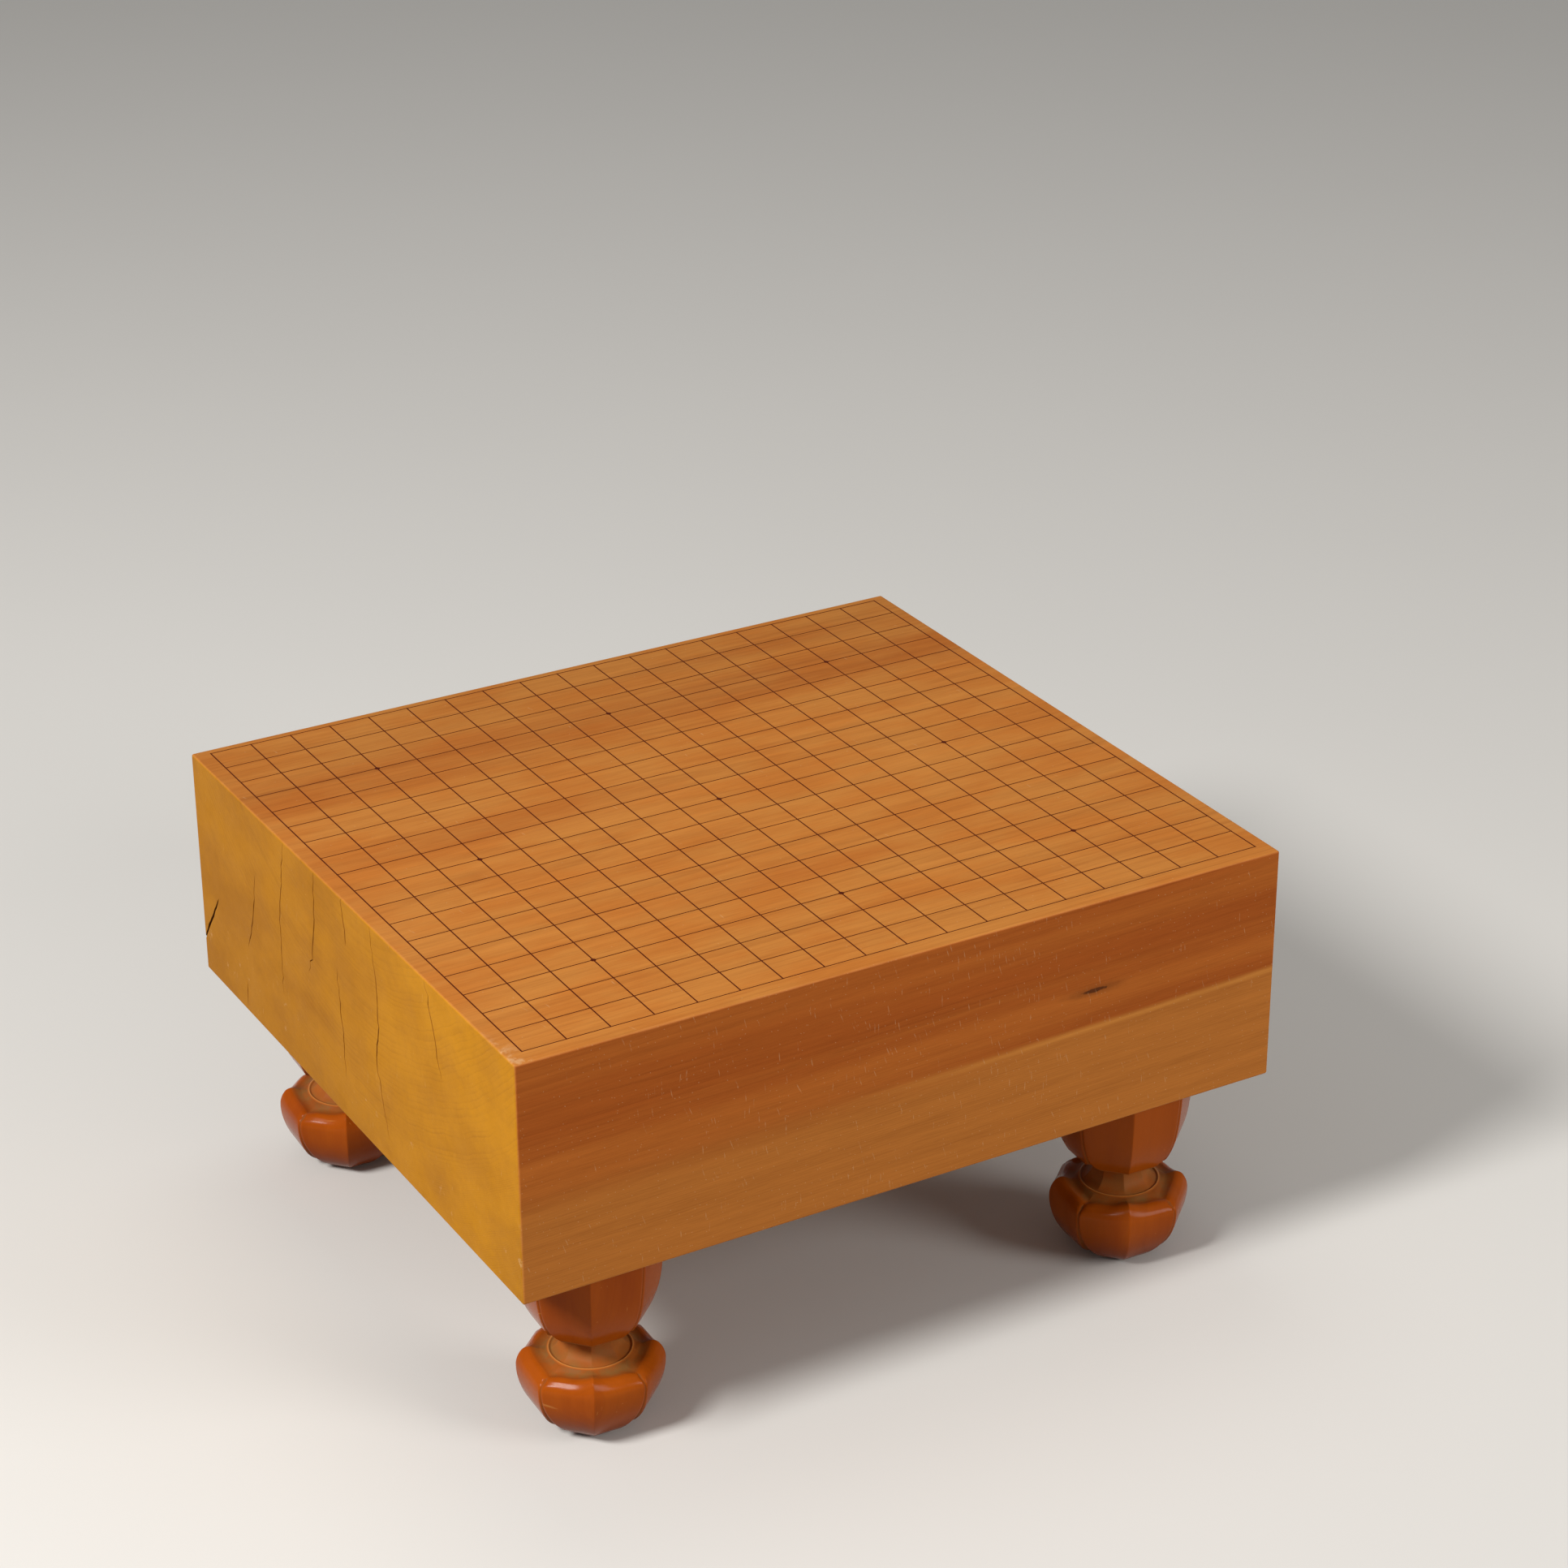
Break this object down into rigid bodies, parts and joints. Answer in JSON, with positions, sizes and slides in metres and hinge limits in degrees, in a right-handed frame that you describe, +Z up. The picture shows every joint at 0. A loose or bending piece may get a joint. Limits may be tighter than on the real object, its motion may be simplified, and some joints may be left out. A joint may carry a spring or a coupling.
{
  "type": "go board",
  "caption": "Thick solid-wood go board on carved push-fit legs, with raised lacquer grid lines, star points and a square hollow under the block.",
  "frame": {"origin": "on the floor, under the middle of the block", "axes": "+X along the grain of the block, towards the right end for a player at the -Y side; +Y across the block, away from that player; +Z up"},
  "size_m": [0.4544, 0.409, 0.2526],
  "materials": {
    "board_wood": "oiled, satin",
    "leg_wood": "gloss varnish",
    "black_lacquer": "satin lacquer"
  },
  "bodies": {
    "board": {"board_block": "board_wood", "lacquer_lines": "black_lacquer", "star_points": "black_lacquer"},
    "front_left_leg": {"leg_front_left": "leg_wood"},
    "front_right_leg": {"leg_front_right": "leg_wood"},
    "back_left_leg": {"leg_back_left": "leg_wood"},
    "back_right_leg": {"leg_back_right": "leg_wood"}
  },
  "joints": [
    {"name": "front_left_leg_pull", "type": "slide", "parent": "board", "child": "front_left_leg", "axis": [0, 0, -1], "range_m": [0, 0.043]},
    {"name": "front_right_leg_pull", "type": "slide", "parent": "board", "child": "front_right_leg", "axis": [0, 0, -1], "range_m": [0, 0.043]},
    {"name": "back_left_leg_pull", "type": "slide", "parent": "board", "child": "back_left_leg", "axis": [0, 0, -1], "range_m": [0, 0.043]},
    {"name": "back_right_leg_pull", "type": "slide", "parent": "board", "child": "back_right_leg", "axis": [0, 0, -1], "range_m": [0, 0.043]}
  ]
}
